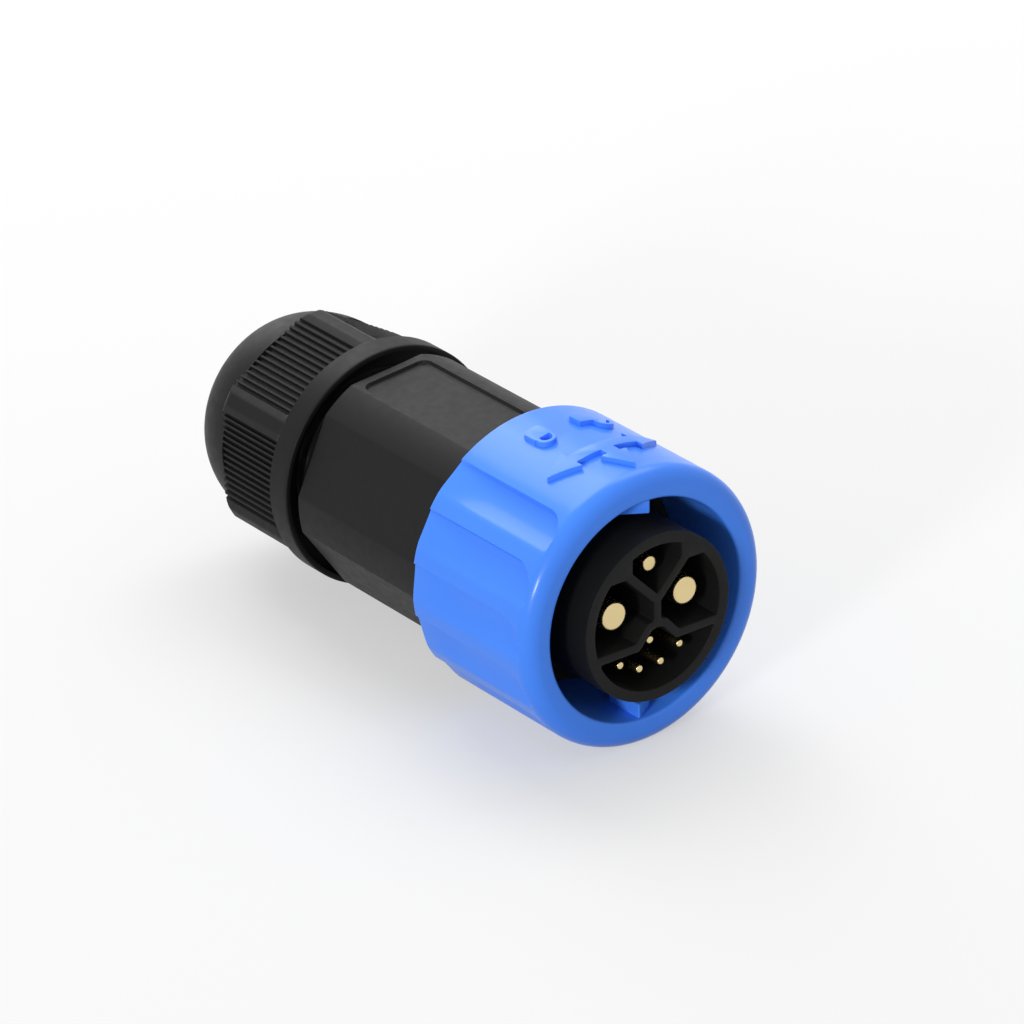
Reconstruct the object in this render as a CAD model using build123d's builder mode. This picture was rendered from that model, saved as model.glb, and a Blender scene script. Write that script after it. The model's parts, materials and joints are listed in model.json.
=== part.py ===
from build123d import *
from math import atan2, cos, degrees, pi, radians, sin
import os

# Battery connector on a cable, with a bayonet coupling ring and a cable gland.
# It lies along Y with its mating face towards -Y and its earth pin up.
# The origin is on the axis, in the plane of the coupling ring's front face.

# Coupling ring
ring_wall = 3.6
ring_front_rounding = 2.0
mouth_rounding = 0.4
lug_width = 3.0
lug_height = 1.8
lug_root = 0.5
lug_length = 5.7
lug_lead_x = 0.8
lug_setback = 0.3
lug_slant = 1.9
rib_length = 1.6
skirt_gap = 0.3
skirt_overlap = 1.2

# Grip flutes: each starts with a step and runs out onto the ring's own round
flute_count = 13
smooth_arc = 69.2
flute_depth = 0.5
flute_share = 0.73
flute_setback = 1.6
flute_corner = 3.4

# Raised symbols on the smooth part of the ring
symbol_height = 0.6
symbol_shift = 0.2
arrow_y = 8.25
arrow_shaft = 1.8
arrow_head_width = 3.9
arrow_head_length = 3.6
arrow_reach = 8.0
pointer_tip_y = 2.1
pointer_length = 4.0
pointer_width = 3.7
lock_y = 16.1
lock_x = 3.3
lock_width = 2.8
lock_length = 2.5
shackle_radius = 1.1
shackle_thickness = 0.6
shackle_rise = 0.25
shackle_swing = 2.3

# Contact insert: a barrel with a wall that parts it into four cells
barrel_diameter = 21.0
barrel_reach = 2.1
barrel_wall = 1.35
barrel_rounding = 0.2
barrel_relief = 0.3
divider_wall = 1.05
cell_depth = 14.0
stem_top = 2.2
stem_bottom = -0.75
arm_end_x = 4.3
arm_end_z = 6.6
shelf_x = 2.95
shelf_z = -3.05
arch_x = 1.1
arch_z = -1.0
web_x = 3.6
web_z = 6.15
insert_flange = 0.7
insert_flange_length = 2.0

# Pins
power_diameter = 3.6
power_x = 5.22
power_z = 1.17
earth_diameter = 2.0
earth_z = 6.3
signal_diameter = 1.0
signal_circle = 14.0
signal_step = 26.0
signal_top_z = -3.5
pin_tip_y = -0.7
collar_length = 1.5
collar_ratio = 1.5
cup_ratio = 1.2
cup_reach = 3.0
cup_depth = 5.0
cup_cutaway = 3.0
pin_rounding = 0.4
tip_share = 0.9

# Front barrel: carries ring and insert, and screws into the body
socket_gap = 3.4
socket_depth = 12.5
front_step = 1.3
flange_width = 1.4
flange_thickness = 1.6
spigot_wall = 1.15
spigot_length = 10.4
insert_seat_y = 20.0

# Small parts of the coupling end
interface_seal_thickness = 1.3
interface_seal_overhang = 0.5
lip_height = 0.35
retainer_thickness = 1.1
retainer_setback = 0.7
retainer_groove = 0.7
retainer_width = 1.0
retainer_gap = 24.0
spring_space = 1.4
spring_wire = 0.3
spring_width = 1.0
spring_waves = 4
spring_gap = 10.0
spring_play = 0.16
gasket_thickness = 0.8
gasket_inset = 0.4
insulator_length = 5.0
lock_ring_length = 2.5
lock_ring_bore = 17.0
slot_width = 2.0
slot_depth = 1.2

# Body shell: round with six flats, and a neck for the gland
body_wall = 2.37
flat_depth = 0.94
body_turn = 5.3
body_length = 28.1
body_edge = 0.3
panel_left = 4.7
panel_right = 4.85
panel_length = 21.0
panel_setback = 1.4
panel_depth = 0.25
panel_corner = 1.2
neck_wall = 2.0
neck_length = 12.1
neck_relief = 0.5
neck_relief_length = 2.0
pocket_depth = 12.9
shoulder_bore = 14.0
shoulder_length = 2.0
chamber_wall = 3.8

# Cable gland
cable_bore = 9.5
seal_wall = 3.1
seal_mouth = 0.8
cage_length = 18.4
cage_wall = 1.8
cage_base = 3.0
finger_count = 8
finger_slot = 1.2
finger_taper = 3.0
finger_nose = 0.9
nose_play = 0.3
washer_thickness = 1.3
washer_bore = 13.4

# Gland nut: a round collar, six grooved flats and a domed rear
nut_gap = 1.6
nut_wall = 3.4
nut_flat_depth = 1.7
collar_band = 3.3
flats_length = 12.0
dome_inset = 1.6
dome_length = 8.7
dome_width = 5.8
nut_edge = 0.4
corner_rounding = 1.2
recess_wall = 0.7
recess_depth = 2.5
nut_bore_length = 10.5
cone_length = 4.5
nut_mouth_diameter = 13.2
nut_mouth_rounding = 0.9
groove_count = 14
groove_pitch = 0.86
groove_width = 0.43
groove_depth = 0.4

# Clearances: turning fits, faces of seated pieces, pins in their holes, screwed parts
running = 0.08
seat = 0.05
snug = 0.03
thread_play = 0.2

# Stations along the axis
body_front = (socket_depth + retainer_setback + retainer_thickness + 2 * seat
              + rib_length + spring_space + flange_thickness + gasket_thickness)
seal_front = socket_depth - interface_seal_thickness
flange_y = body_front - gasket_thickness - flange_thickness
rib_y = flange_y - spring_space - rib_length
retainer_y = rib_y - 2 * seat - retainer_thickness
ring_length = body_front + skirt_overlap
body_rear = body_front + body_length
cell_floor = cell_depth - barrel_reach
insert_rear = insert_seat_y + insert_flange_length
insulator_y = insert_rear + seat
lock_ring_y = insulator_y + insulator_length + seat
spigot_end = body_front + spigot_length
pocket_y = body_rear + neck_length - pocket_depth
cage_y = pocket_y + seat
cage_end = cage_y + cage_length
nut_front = body_rear + nut_gap
flats_y = nut_front + collar_band
dome_y = flats_y + flats_length
nut_rear = dome_y + dome_length
bore_end = nut_front + recess_depth + nut_bore_length
washer_pocket_y = bore_end + cone_length
washer_y = washer_pocket_y + seat

# Radii, from the insert's barrel outwards and from the cable outwards
barrel_radius = barrel_diameter / 2
cavity_radius = barrel_radius - barrel_wall
insert_bore_radius = barrel_radius - barrel_relief + seat
insert_flange_radius = barrel_radius + insert_flange
spigot_bore_radius = insert_flange_radius + seat
spigot_radius = spigot_bore_radius + spigot_wall
mouth_radius = barrel_radius + socket_gap
front_radius = mouth_radius - front_step
groove_floor = front_radius - retainer_groove
flange_radius = front_radius + flange_width
ring_radius = mouth_radius + ring_wall
body_radius = spigot_radius + snug + body_wall
flat_distance = body_radius - flat_depth
chamber_radius = body_radius - chamber_wall
shoulder_radius = shoulder_bore / 2
seal_radius = cable_bore / 2 + seal_wall
cage_radius = seal_radius + cage_wall
pocket_radius = cage_radius + seat
neck_radius = pocket_radius + neck_wall
nut_bore_radius = neck_radius + thread_play
nut_radius = nut_bore_radius + nut_wall
nut_flat_distance = nut_radius - nut_flat_depth
washer_pocket_radius = cage_radius - finger_nose + nose_play


def across(y):
    """Plane square to the axis at a station, with X to the right and Z up."""
    return Plane.XZ.offset(-y)


def turned(points):
    """Solid of revolution about the axis from points of radius and station."""
    with BuildPart() as solid:
        with BuildSketch(Plane.XY):
            with BuildLine():
                Polyline(*points, close=True)
            make_face()
        revolve(axis=Axis.Y)
    return solid.part


def write(builder, name):
    """Labels a finished piece and writes it to its own file."""
    builder.part.label = name
    export_step(builder.part, f"parts/{name}.step")


os.makedirs("parts", exist_ok=True)

# Coupling ring: one moulding with a rib inside, two lugs and a skirt over the body
spring_pocket_radius = front_radius + spring_width + 3 * spring_play
flange_pocket_radius = flange_radius + 2 * spring_play
with BuildPart() as flute_cutter:
    flute_span = radians((360 - smooth_arc) / flute_count * flute_share)
    flute_outside = ring_radius + flute_corner
    with BuildSketch(Plane.XY.offset(-flute_setback)):
        with BuildLine():
            Polyline(
                (ring_radius - flute_depth, 0),
                (ring_radius * cos(flute_span), ring_radius * sin(flute_span)),
                (flute_outside * cos(flute_span), flute_outside * sin(flute_span)),
                (flute_outside, 0),
                close=True,
            )
        make_face()
    extrude(amount=-ring_length)
    front_edges = flute_cutter.edges().group_by(Axis.Z)[-1]
    fillet(front_edges.filter_by(Axis.X), radius=flute_corner)

with BuildPart() as symbols:
    with BuildSketch(Plane((symbol_shift, 0, mouth_radius))):
        arrow_neck = arrow_reach - arrow_head_length
        with Locations((0, arrow_y)):
            Rectangle(2 * arrow_neck, arrow_shaft)
        for side in (-1, 1):
            with BuildLine():
                Polyline(
                    (side * arrow_neck, arrow_y - arrow_head_width / 2),
                    (side * arrow_reach, arrow_y),
                    (side * arrow_neck, arrow_y + arrow_head_width / 2),
                    close=True,
                )
            make_face()
        pointer_base = pointer_tip_y + pointer_length
        with BuildLine():
            Polyline(
                (0, pointer_tip_y),
                (pointer_width / 2, pointer_base),
                (-pointer_width / 2, pointer_base),
                close=True,
            )
        make_face()
        with Locations((0, (pointer_base + arrow_y) / 2)):
            Rectangle(arrow_shaft, arrow_y - pointer_base)
        lock_front = lock_y - lock_length / 2
        for side, shift in ((-1, 0), (1, shackle_swing)):
            with Locations((side * lock_x, lock_y)):
                Rectangle(lock_width, lock_length)
            with Locations((side * lock_x + shift, lock_front - shackle_rise)):
                SlotCenterToCenter(shackle_radius, 2 * shackle_radius + shackle_thickness, rotation=90)
                SlotCenterToCenter(
                    shackle_radius,
                    2 * shackle_radius - shackle_thickness,
                    rotation=90,
                    mode=Mode.SUBTRACT,
                )
    extrude(amount=ring_radius)
    with BuildSketch(Plane.XZ):
        Circle(ring_radius + symbol_height)
    extrude(amount=-ring_length, mode=Mode.INTERSECT)

with BuildPart() as lug:
    with BuildSketch(Plane.XY.offset(mouth_radius - lug_height)):
        lug_rear = lug_setback + lug_length
        with BuildLine():
            Polyline(
                (lug_lead_x, lug_setback),
                (lug_lead_x, lug_rear),
                (lug_lead_x - lug_width, lug_rear),
                (lug_lead_x - lug_width, lug_setback + lug_slant),
                close=True,
            )
        make_face()
    extrude(amount=lug_height + lug_root)

with BuildPart() as coupling_ring:
    with BuildSketch(Plane.XY):
        with BuildLine():
            Polyline(
                (mouth_radius, 0),
                (ring_radius, 0),
                (ring_radius, ring_length),
                (body_radius + skirt_gap, ring_length),
                (body_radius + skirt_gap, body_front - seat),
                (flange_pocket_radius, body_front - seat),
                (flange_pocket_radius, flange_y - seat),
                (spring_pocket_radius, flange_y - seat),
                (spring_pocket_radius, rib_y + rib_length),
                (front_radius + running, rib_y + rib_length),
                (front_radius + running, rib_y),
                (mouth_radius, rib_y),
                close=True,
            )
        make_face()
    revolve(axis=Axis.Y)
    front_face = coupling_ring.faces().sort_by(Axis.Y)[0]
    fillet(front_face.edges().sort_by(SortBy.RADIUS)[-1], radius=ring_front_rounding)
    fillet(front_face.edges().sort_by(SortBy.RADIUS)[0], radius=mouth_rounding)
    first_flute = 90 + smooth_arc / 2
    with Locations(Plane.XZ.location):
        with PolarLocations(0, flute_count, start_angle=first_flute, angular_range=360 - smooth_arc):
            add(flute_cutter.part, mode=Mode.SUBTRACT)
    add(symbols.part)
    add(lug.part)
    add(lug.part.rotate(Axis.Y, 180))
write(coupling_ring, "coupling_ring")

# Places of the pins: name to X, Z and diameter
pins = {
    "power_pin_left": (-power_x, power_z, power_diameter),
    "power_pin_right": (power_x, power_z, power_diameter),
    "earth_pin": (0, earth_z, earth_diameter),
    "signal_pin_1": (0, signal_top_z, signal_diameter),
}
for number in range(4):
    spot = Vector(signal_circle / 2, 0).rotate(Axis.Z, (number - 1.5) * signal_step - 90)
    pins[f"signal_pin_{number + 2}"] = (spot.X, spot.Y, signal_diameter)

# Contact insert: barrel and flange, with four cells round a branching wall
with BuildPart() as contact_insert:
    with BuildSketch(across(-barrel_reach)):
        Circle(barrel_radius)
    extrude(amount=-(insert_rear + barrel_reach))
    fillet(contact_insert.edges().sort_by(Axis.Y)[0], radius=barrel_rounding)
    with BuildSketch(across(seal_front)):
        Circle(ring_radius)
        Circle(barrel_radius - barrel_relief, mode=Mode.SUBTRACT)
    extrude(amount=-ring_length, mode=Mode.SUBTRACT)
    with BuildSketch(across(insert_seat_y)):
        Circle(insert_flange_radius)
    extrude(amount=-insert_flange_length)
    with BuildSketch(across(-barrel_reach)):
        Circle(cavity_radius)
        for side in (-1, 1):
            wall_lines = (
                ((0, stem_top), (side * arm_end_x, arm_end_z)),
                ((0, stem_top), (0, stem_bottom)),
                ((0, stem_bottom), (side * arch_x, arch_z)),
                ((side * arch_x, arch_z), (side * shelf_x, shelf_z)),
                ((side * shelf_x, shelf_z), (side * barrel_radius, shelf_z)),
            )
            for start, end in wall_lines:
                run = Vector(*end) - Vector(*start)
                with Locations(Vector(*start) + run / 2):
                    SlotCenterToCenter(
                        run.length,
                        divider_wall,
                        rotation=degrees(atan2(run.Y, run.X)),
                        mode=Mode.SUBTRACT,
                    )
            with Locations((side * (web_x + barrel_radius / 2), web_z + barrel_radius / 2)):
                Rectangle(barrel_radius, barrel_radius, mode=Mode.SUBTRACT)
    extrude(amount=-cell_depth, mode=Mode.SUBTRACT)
    with BuildSketch(across(cell_floor)):
        Circle(cavity_radius)
    extrude(amount=-(insert_rear - cell_floor), mode=Mode.SUBTRACT)
write(contact_insert, "contact_insert")

# Pin carrier: the plug behind the cells that holds the pins
with BuildPart() as pin_carrier:
    with BuildSketch(across(cell_floor + seat)):
        Circle(cavity_radius - snug)
        for x, z, diameter in pins.values():
            with Locations((x, z)):
                Circle(diameter / 2 + snug, mode=Mode.SUBTRACT)
    extrude(amount=-(insert_rear - cell_floor - seat))
write(pin_carrier, "pin_carrier")

# Pins: turned, with a collar held behind the insert and a cup for the wire
cup_end = spigot_end + cup_reach
for name, (x, z, diameter) in pins.items():
    radius = diameter / 2
    collar_radius = radius * collar_ratio
    cup_radius = radius * cup_ratio
    with BuildPart() as pin:
        with BuildSketch(Plane.XY.offset(z)):
            with BuildLine():
                Polyline(
                    (x, pin_tip_y),
                    (x + radius, pin_tip_y),
                    (x + radius, insulator_y),
                    (x + collar_radius, insulator_y),
                    (x + collar_radius, insulator_y + collar_length),
                    (x + cup_radius, insulator_y + collar_length),
                    (x + cup_radius, cup_end),
                    (x + radius, cup_end),
                    (x + radius, cup_end - cup_depth),
                    (x, cup_end - cup_depth - radius),
                    close=True,
                )
            make_face()
        revolve(axis=Axis((x, 0, z), (0, 1, 0)))
        tip_rounding = min(pin_rounding, tip_share * radius)
        fillet(pin.edges().sort_by(Axis.Y)[0], radius=tip_rounding)
        with BuildSketch(Plane.XY.offset(z)):
            with Locations((x, cup_end)):
                Rectangle(2 * diameter, 2 * cup_cutaway)
        extrude(amount=diameter, mode=Mode.SUBTRACT)
    write(pin, name)

# Rear insulator: holds the pin collars against the insert
with BuildPart() as rear_insulator:
    with BuildSketch(across(insulator_y)):
        Circle(insert_flange_radius)
        for x, z, diameter in pins.values():
            with Locations((x, z)):
                Circle(diameter / 2 * cup_ratio + snug, mode=Mode.SUBTRACT)
    extrude(amount=-insulator_length)
    with BuildSketch(across(insulator_y)):
        for x, z, diameter in pins.values():
            with Locations((x, z)):
                Circle(diameter / 2 * collar_ratio + snug)
    extrude(amount=-(collar_length + snug), mode=Mode.SUBTRACT)
write(rear_insulator, "rear_insulator")

# Ring that locks insert and insulator in the front barrel
with BuildPart() as insert_lock_ring:
    with BuildSketch(across(lock_ring_y)):
        Circle(insert_flange_radius)
        Circle(lock_ring_bore / 2, mode=Mode.SUBTRACT)
    extrude(amount=-lock_ring_length)
    with BuildSketch(across(lock_ring_y + lock_ring_length)):
        Rectangle(2 * insert_flange_radius, slot_width)
        Rectangle(slot_width, 2 * insert_flange_radius)
    extrude(amount=slot_depth, mode=Mode.SUBTRACT)
write(insert_lock_ring, "insert_lock_ring")

# Front barrel: bearing for the ring, groove for its retainer, flange and spigot
with BuildPart() as front_barrel:
    add(turned([
        (insert_bore_radius, socket_depth),
        (front_radius, socket_depth),
        (front_radius, retainer_y - seat),
        (groove_floor, retainer_y - seat),
        (groove_floor, retainer_y + retainer_thickness + seat),
        (front_radius, retainer_y + retainer_thickness + seat),
        (front_radius, flange_y),
        (flange_radius, flange_y),
        (flange_radius, flange_y + flange_thickness),
        (spigot_radius, flange_y + flange_thickness),
        (spigot_radius, spigot_end),
        (spigot_bore_radius, spigot_end),
        (spigot_bore_radius, insert_seat_y),
        (insert_bore_radius, insert_seat_y),
    ]))
write(front_barrel, "front_barrel")

# Interface seal: a flat rubber ring with one lip, at the bottom of the socket
seal_inner = barrel_radius - barrel_relief + snug
seal_outer = front_radius + interface_seal_overhang
lip_root = seal_front + lip_height
lip_middle = (seal_inner + seal_outer) / 2
with BuildPart() as interface_seal:
    add(turned([
        (seal_inner, lip_root),
        (lip_middle - lip_height, lip_root),
        (lip_middle, seal_front),
        (lip_middle + lip_height, lip_root),
        (seal_outer, lip_root),
        (seal_outer, socket_depth),
        (seal_inner, socket_depth),
    ]))
write(interface_seal, "interface_seal")

# Snap ring that keeps the coupling ring on, open at the bottom
with BuildPart() as ring_retainer:
    with BuildSketch(across(retainer_y)):
        Circle(front_radius + retainer_width)
        Circle(groove_floor + snug, mode=Mode.SUBTRACT)
        with BuildLine():
            Polyline(
                (0, 0),
                (ring_radius * sin(radians(retainer_gap / 2)), -ring_radius),
                (-ring_radius * sin(radians(retainer_gap / 2)), -ring_radius),
                close=True,
            )
        make_face(mode=Mode.SUBTRACT)
    extrude(amount=-retainer_thickness)
write(ring_retainer, "ring_retainer")

# Wave spring between the ring's rib and the flange, with its ends apart at the bottom
spring_middle = front_radius + spring_play + spring_width / 2
spring_rise = (spring_space - spring_wire) / 2 - seat
spring_y = flange_y - spring_space / 2
spring_steps = 6 * spring_waves
with BuildPart() as ring_wave_spring:
    for step in range(spring_steps + 1):
        share = step / spring_steps
        turn = radians(spring_gap / 2 - 90 + (360 - spring_gap) * share)
        section = Plane(
            origin=(
                spring_middle * cos(turn),
                spring_y + spring_rise * sin(2 * pi * spring_waves * share),
                spring_middle * sin(turn),
            ),
            x_dir=(cos(turn), 0, sin(turn)),
            z_dir=(-sin(turn), 0, cos(turn)),
        )
        with BuildSketch(section):
            Rectangle(spring_width, spring_wire)
    loft()
write(ring_wave_spring, "ring_wave_spring")

# Gasket between the front barrel's flange and the body
with BuildPart() as shell_gasket:
    with BuildSketch(across(body_front - gasket_thickness)):
        Circle(flange_radius - gasket_inset)
        Circle(spigot_radius + snug, mode=Mode.SUBTRACT)
    extrude(amount=-gasket_thickness)
write(shell_gasket, "shell_gasket")

# Body shell: round bar with six flats, a neck for the nut and a stepped bore
neck_end = body_rear + neck_length
shoulder_front = pocket_y - shoulder_length
tilt = radians(body_turn)
panel_plane = Plane(
    origin=(-flat_distance * sin(tilt), 0, flat_distance * cos(tilt)),
    x_dir=(cos(tilt), 0, sin(tilt)),
    z_dir=(-sin(tilt), 0, cos(tilt)),
)
with BuildPart() as body_shell:
    with BuildSketch(across(body_front)):
        Circle(body_radius)
        RegularPolygon(
            flat_distance, 6, major_radius=False, rotation=body_turn, mode=Mode.INTERSECT
        )
    extrude(amount=-body_length)
    chamfer(body_shell.faces().sort_by(Axis.Y)[-1].edges(), length=body_edge)
    add(turned([
        (0, body_rear - body_edge),
        (neck_radius - neck_relief, body_rear - body_edge),
        (neck_radius - neck_relief, body_rear + neck_relief_length - neck_relief),
        (neck_radius, body_rear + neck_relief_length),
        (neck_radius, neck_end - neck_relief),
        (neck_radius - neck_relief, neck_end),
        (0, neck_end),
    ]))
    add(turned([
        (0, body_front),
        (spigot_radius + snug, body_front),
        (spigot_radius + snug, spigot_end + seat),
        (chamber_radius, spigot_end + seat),
        (chamber_radius, shoulder_front - chamber_radius + shoulder_radius),
        (shoulder_radius, shoulder_front),
        (shoulder_radius, pocket_y),
        (pocket_radius, pocket_y),
        (pocket_radius, neck_end),
        (0, neck_end),
    ]), mode=Mode.SUBTRACT)
    with BuildSketch(panel_plane):
        panel_middle = (panel_right - panel_left) / 2
        with Locations((panel_middle, body_rear - panel_setback - panel_length / 2)):
            RectangleRounded(panel_left + panel_right, panel_length, panel_corner)
    extrude(amount=-panel_depth, mode=Mode.SUBTRACT)
write(body_shell, "body_shell")

# Gland cage: a base ring with fingers that the nut's cone closes on the seal
with BuildPart() as gland_cage:
    add(turned([
        (seal_radius + snug, cage_y),
        (cage_radius, cage_y),
        (cage_radius, cage_end - finger_taper),
        (cage_radius - finger_nose, cage_end),
        (seal_radius + snug, cage_end),
    ]))
    with BuildSketch(across(cage_end)):
        with PolarLocations(cage_radius, finger_count):
            Rectangle(4 * cage_wall, finger_slot)
    extrude(amount=cage_length - cage_base, mode=Mode.SUBTRACT)
write(gland_cage, "gland_cage")

# Gland seal: a rubber bush with a coned mouth
with BuildPart() as gland_seal:
    add(turned([
        (cable_bore / 2, cage_y),
        (seal_radius, cage_y),
        (seal_radius, cage_end),
        (cable_bore / 2 + seal_mouth, cage_end),
        (cable_bore / 2, cage_end - seal_mouth),
    ]))
write(gland_seal, "gland_seal")

# Thrust washer: sits in the nut and doesn't turn with it
with BuildPart() as thrust_washer:
    with BuildSketch(across(washer_y)):
        Circle(washer_pocket_radius - running)
        Circle(washer_bore / 2, mode=Mode.SUBTRACT)
    extrude(amount=-washer_thickness)
write(thrust_washer, "thrust_washer")

# Gland nut: collar, six grooved flats and dome over a stepped bore
cone_rise = nut_radius - nut_flat_distance
dome_radius = nut_radius - dome_inset
with BuildPart() as nut_limit:
    with BuildSketch(across(nut_front)):
        Circle(nut_radius)
    extrude(amount=-(dome_y - nut_front))
    fillet(nut_limit.edges().sort_by(Axis.Y)[-1], radius=corner_rounding)
    chamfer(nut_limit.edges().sort_by(Axis.Y)[0], length=nut_edge)

with BuildPart() as gland_nut:
    with BuildSketch(across(flats_y)):
        RegularPolygon(nut_flat_distance, 6, major_radius=False, rotation=30)
    extrude(amount=-flats_length)
    with BuildSketch(across(dome_y)):
        with PolarLocations(nut_flat_distance, 6):
            with GridLocations(0, groove_pitch, 1, groove_count):
                Rectangle(2 * groove_depth, groove_width)
    extrude(amount=flats_length - cone_rise, mode=Mode.SUBTRACT)
    add(turned([
        (0, nut_front),
        (nut_radius, nut_front),
        (nut_radius, flats_y),
        (nut_flat_distance - groove_depth, flats_y + cone_rise + groove_depth),
        (0, flats_y + cone_rise + groove_depth),
    ]))
    add(nut_limit.part, mode=Mode.INTERSECT)
    with BuildSketch(Plane.XY):
        with BuildLine():
            Line((0, dome_y), (dome_radius, dome_y))
            EllipticalCenterArc(
                (dome_radius - dome_width, dome_y), dome_width, dome_length, arc_size=90
            )
            Polyline((dome_radius - dome_width, nut_rear), (0, nut_rear), (0, dome_y))
        make_face()
    revolve(axis=Axis.Y)
    add(turned([
        (0, nut_front),
        (nut_radius - recess_wall, nut_front),
        (nut_radius - recess_wall, nut_front + recess_depth),
        (nut_bore_radius, nut_front + recess_depth),
        (nut_bore_radius, bore_end),
        (washer_pocket_radius, washer_pocket_y),
        (washer_pocket_radius, washer_y + washer_thickness + seat),
        (nut_mouth_diameter / 2, washer_y + washer_thickness + seat),
        (nut_mouth_diameter / 2, nut_rear),
        (0, nut_rear),
    ]), mode=Mode.SUBTRACT)
    rear_edges = gland_nut.edges().filter_by(GeomType.CIRCLE).group_by(Axis.Y)[-1]
    fillet(rear_edges.sort_by(SortBy.RADIUS)[0], radius=nut_mouth_rounding)
write(gland_nut, "gland_nut")
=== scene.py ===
"""Visual model of a round battery connector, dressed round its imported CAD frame.

Sizes in the classes are in millimetres, and the meshes are put out in metres. The connector lies
along Y, with its mating face towards -Y and its earth pin up, as the frame does. Angles round the
axis run from +X towards +Z.
"""

import json
import logging
import math
from dataclasses import dataclass
from enum import Enum

import bmesh
import bpy
import numpy as np

from mathutils import Matrix

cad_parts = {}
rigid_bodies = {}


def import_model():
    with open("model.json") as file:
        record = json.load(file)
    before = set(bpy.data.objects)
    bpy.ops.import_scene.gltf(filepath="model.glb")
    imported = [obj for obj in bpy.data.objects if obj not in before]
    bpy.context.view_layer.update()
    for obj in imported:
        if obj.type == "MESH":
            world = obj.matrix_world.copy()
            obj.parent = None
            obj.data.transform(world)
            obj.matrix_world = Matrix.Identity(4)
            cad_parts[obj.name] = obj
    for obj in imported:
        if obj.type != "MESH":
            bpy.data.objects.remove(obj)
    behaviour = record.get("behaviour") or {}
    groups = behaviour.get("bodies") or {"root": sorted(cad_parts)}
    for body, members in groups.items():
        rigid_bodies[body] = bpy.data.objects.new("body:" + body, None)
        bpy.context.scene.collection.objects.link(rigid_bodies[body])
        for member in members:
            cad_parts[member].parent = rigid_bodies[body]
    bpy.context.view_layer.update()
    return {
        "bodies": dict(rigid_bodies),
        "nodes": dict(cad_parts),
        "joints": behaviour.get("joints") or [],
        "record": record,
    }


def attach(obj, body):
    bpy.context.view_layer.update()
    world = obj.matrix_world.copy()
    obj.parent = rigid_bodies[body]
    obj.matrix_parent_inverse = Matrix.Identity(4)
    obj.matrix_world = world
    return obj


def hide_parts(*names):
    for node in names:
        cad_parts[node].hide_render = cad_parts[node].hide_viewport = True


Array = np.ndarray
Point = tuple[float, float]
Triple = tuple[float, float, float]
Node = bpy.types.Node
Socket = bpy.types.NodeSocket
Tree = bpy.types.NodeTree

LOG = logging.getLogger("connector")
MM = 0.001
TURN = 2.0 * math.pi

# Metres within which points are merged, the shortest edge kept, and the angle of a sharp edge.
SEAM = 2e-6
SLIVER = 1e-7
SHARP = math.radians(34.0)

# Steps of a small round, the most of a side that it takes up, and how far past it a holding
# point lies: a length in millimetres, and no more than a share of the side.
ROUND_STEPS = 4
TANGENT_SHARE = 0.45
HOLD = 0.12
HOLD_SHARE = 0.04

# Lathe marks to a metre, as the wave texture takes them, and the clear coat's roughness.
LATHE_PITCH = 1500.0
COAT_ROUGHNESS = 0.14


def ease(share: Array) -> Array:
    """Share eased from nought to one: three squares less two cubes, held outside that span."""
    held = np.clip(share, 0.0, 1.0)
    return held * held * (3.0 - 2.0 * held)


def quarter(radius: float, steps: int) -> tuple[Array, Array]:
    """Quarter circle, as its gaps to its two tangents.

    Args:
        radius: the circle's radius.
        steps: the number of points.

    Returns:
        The radius less its cosine, which grows from nought, and less its sine, which falls to it.
    """
    bend = np.linspace(0.0, TURN / 4, steps)
    return radius * (1.0 - np.cos(bend)), radius * (1.0 - np.sin(bend))


def soft_min(first: Array, second: Array, width: float) -> Array:
    """Lesser of two surfaces, with a round where they cross.

    Where they differ by less than the width, a parabola takes the corner off: the blend less the
    width times the blend's two shares.

    Args:
        first: radii of one surface.
        second: radii of the other.
        width: how far apart they may be and still blend.

    Returns:
        The blended radii.
    """
    share = np.clip(0.5 + 0.5 * (second - first) / width, 0.0, 1.0)
    return second + (first - second) * share - width * share * (1.0 - share)


def rounded_profile(corners: list[Triple], closed: bool = True) -> Array:
    """Profile whose corners are round, with holding points beside each round.

    Each corner is an exact arc: the weighted mean of its two tangent points and the corner, with
    the cosine of half the turn as the corner's weight.

    Args:
        corners: radius, station and rounding of each corner, in order.
        closed: whether the last corner runs back to the first.

    Returns:
        Radius and station of each point of the profile.
    """
    places = np.array(corners)[:, :2]
    found: list[Array] = []
    count = len(places)
    for index, (here, (_, _, rounding)) in enumerate(zip(places, corners)):
        if rounding <= 0.0 or (not closed and index in (0, count - 1)):
            found.append(here)
            continue
        spans = (places[index - 1] - here, places[(index + 1) % count] - here)
        lengths = [np.linalg.norm(span) for span in spans]
        back, ahead = (span / length for span, length in zip(spans, lengths))
        half_turn = 0.5 * (math.pi - math.acos(float(np.clip(back @ ahead, -1.0, 1.0))))
        reach = min(rounding * math.tan(half_turn), TANGENT_SHARE * min(lengths))
        steps = ROUND_STEPS if rounding < 1.0 else 2 * ROUND_STEPS
        share = np.linspace(0.0, 1.0, steps + 1)[:, None]
        weight = math.cos(half_turn)
        one, two, three = (1 - share) ** 2, 2 * share * (1 - share) * weight, share**2
        arc = one * (here + back * reach) + two * here + three * (here + ahead * reach)
        hold = min(HOLD, HOLD_SHARE * min(lengths))
        found += [here + back * (reach + hold), arc / (one + two + three)]
        found.append(here + ahead * (reach + hold))
    return np.vstack(found)


def round_rows(radius: Array, angles: Array) -> Array:
    """Radii by row and column of rows that are round, each the same at every angle."""
    return radius[:, None] * np.ones_like(angles)[None, :]


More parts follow.
